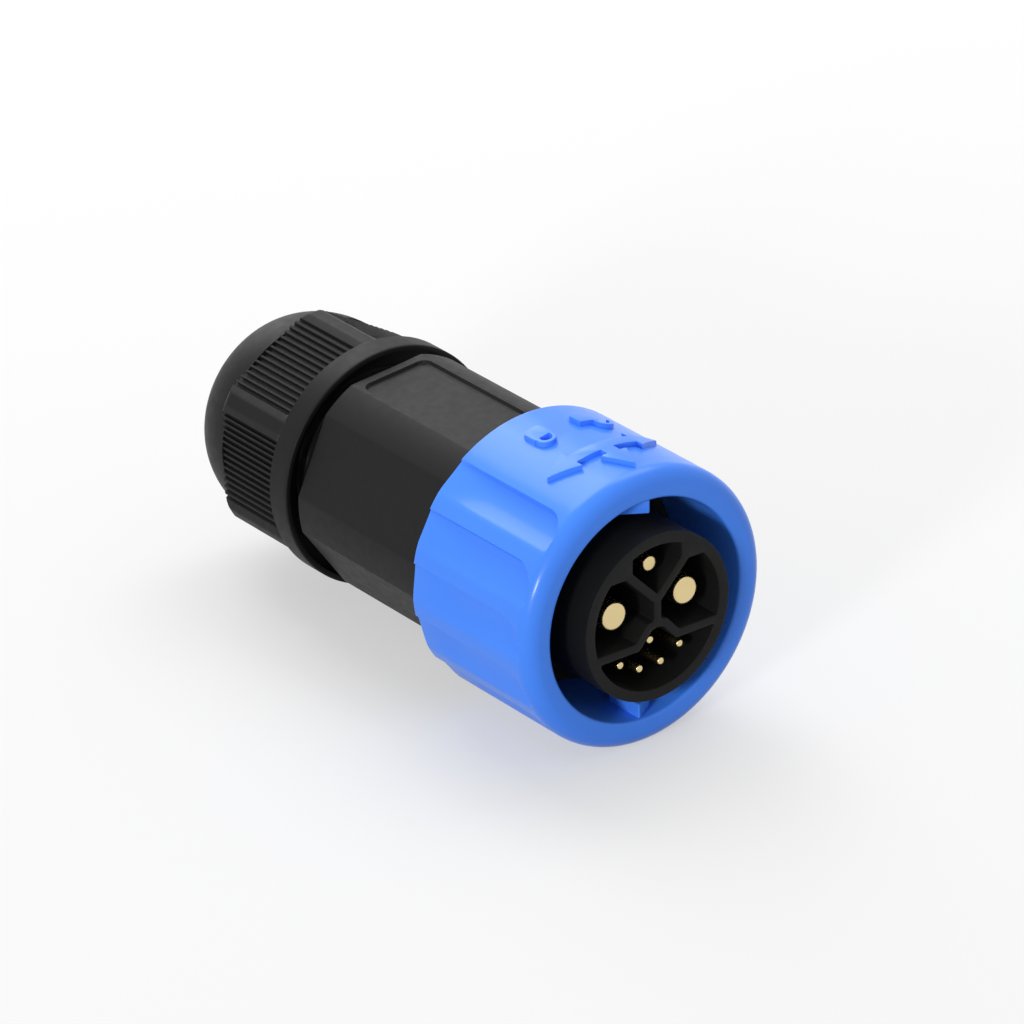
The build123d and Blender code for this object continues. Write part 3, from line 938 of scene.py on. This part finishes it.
@dataclass
class GlandNut:
    """The nut: a round collar, six grooved flats and a domed rear over a stepped bore."""

    outer: float = 15.3
    flat: float = 13.6
    front: float = 49.5
    lip: float = 0.2
    collar_end: float = 52.8
    flats_end: float = 64.8
    corner_round: float = 1.2
    corner_blend: float = 0.12
    rear_blend: float = 0.05
    groove_count: int = 14
    groove_pitch: float = 0.86
    groove_half: float = 0.25
    groove_depth: float = 0.4
    groove_edge: float = 0.04
    dome: float = 13.7
    dome_inner: float = 7.9
    dome_length: float = 8.7
    mouth: float = 6.6
    mouth_round: float = 0.9
    bore_setback: float = 0.1
    bore: tuple[Triple, ...] = (
        (6.6, 68.4, 0.2), (9.05, 68.4, 0.0), (9.05, 67.0, 0.0), (11.9, 62.5, 0.0),
        (11.9, 52.0, 0.2), (14.6, 52.0, 0.15), (14.6, 49.5, 0.0),
    )

    def columns(self) -> Array:
        """Angles of the columns: four for each groove, and some round each corner.

        Returns:
            The angles in order.
        """
        centres = (np.arange(self.groove_count) - (self.groove_count - 1) / 2) * self.groove_pitch
        reach = self.groove_half + self.groove_edge
        inner = reach - 2 * self.groove_edge
        shifts = np.array([-reach, -inner, inner, reach])
        across = np.concatenate([(centres[:, None] + shifts[None, :]).ravel(), [-6.3, 6.3]])
        corner = np.radians([26.2, 26.9, 27.2, 27.5, 27.9, 28.6, 30.0])
        flat = np.concatenate([np.arctan(across / self.flat), corner, -corner[:-1]])
        normals = np.radians(60.0 * np.arange(6))
        return sorted_angles((normals[:, None] + flat[None, :]).ravel())

    def outline(self, station: Array, angles: Array) -> Array:
        """Radius of the nut's outside as far as the dome.

        The flats, less their grooves, are held within the collar's round and within the round of
        the rear corners, and the cone behind the collar covers what lies lower than it.

        Args:
            station: the station of each row.
            angles: the angle of each column.

        Returns:
            The radius by row and column.
        """
        local = np.mod(angles + TURN / 12, TURN / 6) - TURN / 12
        across = self.flat * np.tan(local)
        limit = (self.groove_count - 1) / 2
        nearest = np.clip(np.round(across / self.groove_pitch - 0.5) + 0.5, -limit, limit)
        away = np.abs(across - nearest * self.groove_pitch)
        groove = ease((self.groove_half + self.groove_edge - away) / (2 * self.groove_edge))
        sides = (self.flat - self.groove_depth * groove) / np.cos(local)
        sides = soft_min(np.full(sides.shape, self.outer), sides, self.corner_blend)
        drop = np.clip(station - (self.flats_end - self.corner_round), 0.0, self.corner_round)
        corner = self.outer - self.corner_round + np.sqrt(self.corner_round**2 - drop**2)
        body = soft_min(sides[None, :], corner[:, None], self.rear_blend)
        cone = self.outer - np.maximum(station - self.collar_end, 0.0)
        covered = np.maximum(body, cone[:, None])
        return np.where((station <= self.collar_end)[:, None], self.outer, covered)

    def build(self, wardrobe: Wardrobe) -> None:
        """Builds the nut in the place of its node. Its dome is a quarter of an ellipse.

        Args:
            wardrobe: where its finish comes from.
        """
        angles = self.columns()
        lip_y, lip_drop = quarter(self.lip, 5)
        straight = [50.2, 52.4, self.collar_end, *np.arange(52.95, 55.6, 0.12)]
        straight += [56.2, 60.0, 63.0, 63.4]
        flats_y = np.concatenate([straight, self.flats_end - quarter(self.corner_round, 9)[1]])
        rise = np.linspace(0.0, TURN / 4, 26)
        dome_r = self.dome_inner + (self.dome - self.dome_inner) * np.cos(rise)
        dome_y = self.flats_end + self.dome_length * np.sin(rise)
        end = dome_y[-1]
        rim = [(self.dome_inner, end, 0.0), (self.mouth, end, self.mouth_round)]
        inner_r, inner_y = rounded_profile([*rim, *self.bore], closed=False)[1:].T
        inner_y[-1] += self.bore_setback
        rear = round_rows(np.concatenate([dome_r, inner_r]), angles)
        lip = round_rows(self.outer - lip_drop, angles)
        radius = np.concatenate([lip, self.outline(flats_y, angles), rear])
        station = np.concatenate([self.front + lip_y, flats_y, dome_y, inner_y])
        shell = Shell("gland_nut_grip")
        shell.add_grid(turned(radius, station, angles))
        wardrobe.finish(shell, GLAND, "nut", "gland_nut")


@dataclass
class ContactInsert:
    """The insert: a barrel whose face is parted into four cells by a branching wall."""

    barrel: float = 10.5
    face: float = -2.1
    cavity: float = 9.15
    floor: float = 11.9
    floor_lap: float = 0.05
    wall: float = 1.05
    rim: float = 0.12
    rounds: Point = (0.25, 0.3)
    stem_top: float = 2.2
    stem_bottom: float = -0.75
    arm_end: Point = (4.3, 6.6)
    arch: Point = (1.1, -1.0)
    shelf: Point = (2.95, -3.05)
    web: Point = (3.6, 6.15)

    @staticmethod
    def shifted(start: Point, end: Point, shift: float = 0.0) -> tuple[Array, Array]:
        """Line from start to end moved to its left.

        Args:
            start: a point on the line.
            end: another point on it.
            shift: how far it moves to its left.

        Returns:
            A point of the moved line, and its direction.
        """
        run = np.array(end) - np.array(start)
        run = run / np.linalg.norm(run)
        return np.array(start) + shift * np.array([-run[1], run[0]]), run

    @staticmethod
    def crossings(lines: list[tuple[Array, Array]]) -> list[Array]:
        """Points where each line crosses the next.

        Args:
            lines: a point and the direction of each line.

        Returns:
            The points, one fewer than the lines.
        """
        found = []
        for (a, u), (b, v) in zip(lines, lines[1:]):
            share = np.linalg.solve(np.column_stack([u, -v]), b - a)
            found.append(a + u * share[0])
        return found

    def arc(self, start: float, end: float) -> list[Triple]:
        """Corners along the cavity's round, all but the ends unrounded.

        Args:
            start: the first angle.
            end: the last angle.

        Returns:
            The corners.
        """
        steps = np.linspace(start, end, 29)
        points = [(self.cavity * math.cos(t), self.cavity * math.sin(t), 0.0) for t in steps]
        ends = [(*points[index][:2], self.rounds[0]) for index in (0, -1)]
        return [ends[0], *points[1:-1], ends[1]]

    def cells(self) -> list[Array]:
        """Outlines of the four cells in X and Z, with rounded corners.

        Every side is a wall's middle line moved by half the wall, and the corners are where
        neighbouring sides cross.

        Returns:
            The outlines: earth, right power, left power and signal.
        """
        half = self.wall / 2
        small, large = self.rounds
        top, low = (0.0, self.stem_top), (0.0, self.stem_bottom)
        web_x, web_z = self.web
        axis = self.shifted((0.0, 0.0), (0.0, 1.0))
        path = [low, self.arch, self.shelf, (self.barrel, self.shelf[1])]
        upper, under = (
            [self.shifted(*ends, way * half) for ends in zip(path, path[1:])] for way in (1.0, -1.0)
        )
        ceiling = self.shifted((0.0, web_z), self.web)
        arm, stem = self.shifted(top, self.arm_end, -half), self.shifted(low, top, -half)
        power = [(*place, small) for place in self.crossings([ceiling, arm, stem, *upper])]
        low_end = math.asin((self.shelf[1] + half) / self.cavity)
        power += self.arc(low_end, math.asin(web_z / self.cavity))
        web = self.shifted(self.web, (web_x, self.barrel))
        middle, bend = self.crossings([axis, self.shifted(top, self.arm_end, half), web])
        reach = math.acos(web_x / self.cavity)
        earth = [(*middle, small), (*bend, small), *self.arc(reach, math.pi - reach)]
        earth.append((-bend[0], bend[1], small))
        crest, knee, foot = self.crossings([axis, *under])
        start = math.asin((self.shelf[1] - half) / self.cavity)
        signal = [(*crest, 0.0), (-knee[0], knee[1], large), (-foot[0], foot[1], large)]
        signal += [*self.arc(-math.pi - start, start), (*foot, large), (*knee, large)]
        right = rounded_profile(power)
        left = right[::-1] * np.array([-1.0, 1.0])
        return [rounded_profile(earth), right, left, rounded_profile(signal)]

    def cell_wall(self, outline: Array) -> Array:
        """Wall of one cell, from its rim on the face to its floor.

        It is the outline carried back along Y, after a quarter circle at the rim that starts one
        rim's width outside the outline.

        Args:
            outline: the cell's outline in X and Z.

        Returns:
            Points by row and column.
        """
        keep = np.linalg.norm(outline - np.roll(outline, 1, axis=0), axis=1) > 1e-3
        line = outline[keep]
        after = np.roll(line, -1, axis=0)
        run = after - np.roll(line, 1, axis=0)
        run = run / np.linalg.norm(run, axis=1)[:, None]
        way = np.sign((line[:, 0] * after[:, 1] - after[:, 0] * line[:, 1]).sum())
        side = np.column_stack([run[:, 1], -run[:, 0]]) * way
        grow, fall = quarter(self.rim, 4)
        inset = np.append(fall, 0.0)
        plan = line[None, :, :] + side[None, :, :] * inset[:, None, None]
        station = np.append(self.face + grow, self.floor)
        deep = np.broadcast_to(station[:, None], plan.shape[:2])
        return np.stack([plan[:, :, 0], deep, plan[:, :, 1]], axis=-1)

    def build(self, wardrobe: Wardrobe) -> None:
        """Builds the insert in the place of its node.

        Args:
            wardrobe: where its finish comes from.
        """
        corners = [
            (self.barrel - 0.25, self.face, 0.0), (self.barrel, self.face, 0.2),
            (self.barrel, 11.2, 0.0), (10.2, 11.2, 0.0), (10.2, 20.0, 0.0), (11.2, 20.0, 0.1),
            (11.2, 22.0, 0.1), (self.cavity, 22.0, 0.0),
            (self.cavity, self.floor + self.floor_lap, 0.0),
        ]
        tube = turned(*rounded_profile(corners, closed=False).T, even_angles(128))
        shell = Shell("contact_insert_face")
        shell.add_grid(tube, close_rows=False)
        walls = [self.cell_wall(outline) for outline in self.cells()]
        for wall in walls:
            shell.add_grid(wall, close_rows=False)
        shell.add_cap(tube[0], *(wall[0] for wall in walls))
        bottom = tube[-1] - np.array([0.0, self.floor_lap, 0.0])
        shell.add_cap(bottom, *(wall[-1] for wall in walls))
        wardrobe.finish(shell, INSERT, "shell", "contact_insert")


@dataclass
class Pins:
    """The contacts: two power pins, an earth pin and five signal pins, all turned and plated."""

    power: Point = (5.22, 1.17)
    earth_z: float = 6.3
    signal_round: float = 7.0
    signal_step: float = 26.0
    signal_top: float = -3.5
    shares: Point = (1.5, 1.2)

    def places(self) -> list[tuple[str, float, float, float, float]]:
        """Node, X, Z, radius and tip's rounding of every pin.

        Returns:
            The pins: four of the signal pins stand on a round and one above them.
        """
        x, z = self.power
        found = [
            ("power_pin_left", -x, z, 1.8, 0.35), ("power_pin_right", x, z, 1.8, 0.35),
            ("earth_pin", 0.0, self.earth_z, 1.0, 0.3),
            ("signal_pin_1", 0.0, self.signal_top, 0.5, 0.4),
        ]
        for number in range(4):
            turn = math.radians((number - 1.5) * self.signal_step - 90.0)
            place = self.signal_round * math.cos(turn), self.signal_round * math.sin(turn)
            found.append((f"signal_pin_{number + 2}", *place, 0.5, 0.4))
        return found

    def profile(self, pin: float, tip: float) -> Array:
        """Radius and station from a pin's tip to its cup's floor.

        Args:
            pin: the pin's radius.
            tip: its tip's rounding.

        Returns:
            The profile's points.
        """
        collar, cup = (pin * share for share in self.shares)
        corners = [
            (0.0, -0.7, 0.0), (pin, -0.7, tip), (pin, 22.05, 0.0), (collar, 22.05, 0.0),
            (collar, 23.55, 0.0), (cup, 23.55, 0.0), (cup, 33.2, 0.05), (pin, 33.2, 0.05),
            (pin, 28.2, 0.0), (0.0, 28.2 - pin, 0.0),
        ]
        return rounded_profile(corners, closed=False)

    def build(self, wardrobe: Wardrobe) -> None:
        """Builds every pin in the place of its node.

        Args:
            wardrobe: where their finish comes from.
        """
        angles = even_angles(40)
        for node, x, z, radius, tip in self.places():
            shell = Shell(f"{node}_contact")
            shell.add_grid(turned(*self.profile(radius, tip).T, angles, (x, z)), close_rows=False)
            wardrobe.finish(shell, GOLD, "shell", node)


@dataclass
class TurnedParts:
    """Round parts in the socket and in the gland, each a closed profile turned about Y."""

    steps: int = 144
    bush_bore: float = 4.75
    ridge_lift: float = 0.2
    ridge_half: float = 0.5
    barrel: tuple[Triple, ...] = (
        (10.25, 12.5, 0.1), (12.6, 12.5, 0.2), (12.6, 13.15, 0.0), (11.9, 13.15, 0.0),
        (11.9, 14.35, 0.0), (12.6, 14.35, 0.0), (12.6, 17.4, 0.0), (14.0, 17.4, 0.1),
        (14.0, 19.0, 0.1), (12.4, 19.0, 0.0), (12.4, 30.2, 0.3), (11.25, 30.2, 0.1),
        (11.25, 20.0, 0.0), (10.25, 20.0, 0.0),
    )
    lip: tuple[Triple, ...] = (
        (10.23, 11.55, 0.05), (11.42, 11.55, 0.1), (11.765, 11.2, 0.12), (12.11, 11.55, 0.1),
        (13.1, 11.55, 0.15), (13.1, 12.5, 0.05), (10.23, 12.5, 0.0),
    )
    gasket: tuple[Triple, ...] = (
        (12.43, 19.0, 0.1), (13.6, 19.0, 0.2), (13.6, 19.8, 0.2), (12.43, 19.8, 0.1),
    )
    washer: tuple[Triple, ...] = (
        (6.7, 67.05, 0.15), (8.97, 67.05, 0.1), (8.97, 68.35, 0.1), (6.7, 68.35, 0.2),
    )

    def bush(self) -> list[Triple]:
        """Profile of the cable's bush, with five low ridges on its bore.

        Returns:
            The profile's corners.
        """
        bore, crest = self.bush_bore, self.bush_bore + self.ridge_lift
        corners = [(bore, 47.15, 0.2), (7.85, 47.15, 0.2), (7.85, 65.55, 0.15)]
        corners += [(5.55, 65.55, 0.2), (bore, 64.75, 0.3)]
        for middle in (50.0 + ridge * 2.4 for ridge in range(5, 0, -1)):
            ends = [(bore, middle + way * self.ridge_half, 0.1) for way in (1.0, -1.0)]
            corners += [ends[0], (crest, middle, 0.1), ends[1]]
        return corners

    def build(self, wardrobe: Wardrobe) -> None:
        """Builds every round part in the place of its node.

        Args:
            wardrobe: where their finishes come from.
        """
        angles = even_angles(self.steps)
        for name, body, node, finish, corners in (
            ("front_barrel_turned", "shell", "front_barrel", SHELL, self.barrel),
            ("interface_seal_ring", "shell", "interface_seal", RUBBER, self.lip),
            ("shell_gasket_ring", "shell", "shell_gasket", RUBBER, self.gasket),
            ("gland_seal_bush", "shell", "gland_seal", RUBBER, self.bush()),
            ("thrust_washer_disc", "washer", "thrust_washer", WASHER, self.washer),
        ):
            shell = Shell(name)
            shell.add_grid(turned(*rounded_profile(corners).T, angles))
            wardrobe.finish(shell, finish, body, node)


@dataclass
class HiddenParts:
    """Inner parts that keep their CAD shapes and get a finish."""

    finishes: tuple[tuple[Finish, tuple[str, ...]], ...] = (
        (INSERT, ("rear_insulator", "pin_carrier", "insert_lock_ring")),
        (STEEL, ("ring_retainer", "ring_wave_spring")),
        (GLAND, ("gland_cage",)),
    )

    def dress(self, wardrobe: Wardrobe, nodes: dict[str, bpy.types.Object]) -> None:
        """Dresses the nodes that stay.

        Args:
            wardrobe: where their finishes come from.
            nodes: the CAD nodes by name.
        """
        for finish, names in self.finishes:
            for name in names:
                wardrobe.put_on(nodes[name], finish)
                LOG.info("%s keeps its CAD shape", name)


@dataclass
class Studio:
    """A pale floor, soft lights and the camera at the photograph's angle."""

    floor_z: float = -17.55
    floor_half: float = 3.0
    floor_tone: float = 0.40
    floor_lift: float = 0.48
    fill: float = 0.51
    azimuth: float = -37.32
    elevation: float = 26.21
    roll: float = -0.95
    camera_offset: Triple = (-14.94, 13.42, 769.65)
    focal_pixels: float = 6693.0
    frame_pixels: float = 1024.0
    principal: Point = (516.7, 494.1)
    sensor: float = 36.0
    clip_start: float = 0.01
    aim: Triple = (0.0, 0.03, 0.0)
    lamps: tuple[tuple[str, Triple, float, float], ...] = (
        ("overhead", (0.5, 0.2, 0.85), 0.6, 3.0),
        ("above_rear", (0.1, 0.6, 0.8), 0.6, 3.4),
        ("rear", (0.3, 0.95, 0.45), 0.6, 2.2),
        ("left", (-0.93, -0.40, 0.28), 0.2, 5.5),
    )

    @staticmethod
    def stand(thing: bpy.types.Object, axes: tuple[Array, ...], place: Array | Triple) -> None:
        """Turns a lamp or a camera by its axes and moves it to its place.

        Args:
            thing: the lamp or the camera.
            axes: its right, up and back, which points away from what it looks at.
            place: where it stands.
        """
        matrix = np.eye(4)
        matrix[:3] = np.column_stack([*axes, place])
        thing.matrix_world = Matrix(matrix.tolist())

    def camera_axes(self) -> tuple[Array, Array, Array]:
        """Right, up and back of the camera.

        Back comes from azimuth and elevation, right is square to it and level, and both right
        and up are then turned by the roll.

        Returns:
            The three unit vectors.
        """
        a, e, r = (math.radians(v) for v in (self.azimuth, self.elevation, self.roll))
        back = np.array([math.sin(a) * math.cos(e), -math.cos(a) * math.cos(e), math.sin(e)])
        right = np.cross([0.0, 0.0, 1.0], back)
        right /= np.linalg.norm(right)
        up = np.cross(back, right)
        rolled = math.cos(r) * right + math.sin(r) * up
        upward = -math.sin(r) * right + math.cos(r) * up
        return rolled, upward, back

    def set_camera(self) -> None:
        """Places the camera and makes it the scene's."""
        frame = self.frame_pixels
        data = bpy.data.cameras.new("camera")
        data.sensor_width = self.sensor
        data.lens = self.focal_pixels / frame * data.sensor_width
        data.shift_x = (frame / 2 - self.principal[0]) / frame
        data.shift_y = (self.principal[1] - frame / 2) / frame
        data.clip_start = self.clip_start
        camera = put_in_scene("camera", data)
        axes = self.camera_axes()
        self.stand(camera, axes, sum(v * s for v, s in zip(axes, self.camera_offset)) * MM)
        bpy.context.scene.camera = camera

    @staticmethod
    def looked_at(tree: Tree) -> Socket:
        """Adds nodes that tell rays that look from rays that light, and gives their socket.

        Args:
            tree: the node tree that they go into.

        Returns:
            A socket that is one for camera, glossy and transmission rays, and nought for others.
        """
        path = tree.nodes.new("ShaderNodeLightPath").outputs
        mirrored = add_math(tree, "MAXIMUM", path["Is Camera Ray"], path["Is Glossy Ray"])
        return add_math(tree, "MAXIMUM", mirrored, path["Is Transmission Ray"])

    def set_floor(self) -> None:
        """Makes the floor: a diffuse grey that the camera sees lifted to the background's white."""
        reach = self.floor_half
        mesh = bpy.data.meshes.new("floor")
        ways = ((-reach, -reach), (reach, -reach), (reach, reach), (-reach, reach))
        mesh.from_pydata([(*way, self.floor_z * MM) for way in ways], [], [(0, 1, 2, 3)])
        floor = put_in_scene("floor", mesh)
        made = bpy.data.materials.new("floor")
        made.use_nodes = True
        tree = made.node_tree
        tree.nodes.clear()
        tone = (*[self.floor_tone] * 3, 1.0)
        paint = add_node(tree, "ShaderNodeBsdfDiffuse", {"Color": tone})
        lift = add_math(tree, "MULTIPLY", self.looked_at(tree), self.floor_lift)
        glow = add_node(tree, "ShaderNodeEmission", {"Strength": lift})
        both = add_node(tree, "ShaderNodeAddShader", {0: paint.outputs[0], 1: glow.outputs[0]})
        add_node(tree, "ShaderNodeOutputMaterial", {"Surface": both.outputs[0]})
        mesh.materials.append(made)

    def set_lights(self) -> None:
        """Makes soft lamps behind and at the left, and a world that lights the object weakly."""
        for name, place, size, power in self.lamps:
            data = bpy.data.lights.new(name, "AREA")
            data.shape = "DISK"
            data.size = size
            data.energy = power
            back = np.array(place) - np.array(self.aim)
            back /= np.linalg.norm(back)
            right = np.cross([0.0, 1.0, 0.0], back)
            right /= np.linalg.norm(right)
            self.stand(put_in_scene(name, data), (right, np.cross(back, right), back), place)
        world = bpy.data.worlds.new("world")
        world.use_nodes = True
        tree = world.node_tree
        inputs = {0: self.looked_at(tree), 2: self.fill, 3: 1.0}
        seen = add_node(tree, "ShaderNodeMix", inputs).outputs[0]
        feed(tree, tree.nodes["Background"], {"Color": (1.0, 1.0, 1.0, 1.0), "Strength": seen})
        bpy.context.scene.world = world

    def build(self) -> None:
        """Sets the stage and the plain colour view."""
        self.set_camera()
        self.set_floor()
        self.set_lights()
        bpy.context.scene.view_settings.view_transform = "Standard"


def main() -> None:
    """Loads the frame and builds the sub-assemblies in order."""
    logging.basicConfig(level=logging.INFO, format="%(name)s: %(message)s")
    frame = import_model()
    Studio().build()
    wardrobe = Wardrobe()
    for part in (CouplingRing(), BodyShell(), GlandNut(), ContactInsert(), Pins(), TurnedParts()):
        part.build(wardrobe)
    HiddenParts().dress(wardrobe, frame["nodes"])


if __name__ == "__main__":
    main()
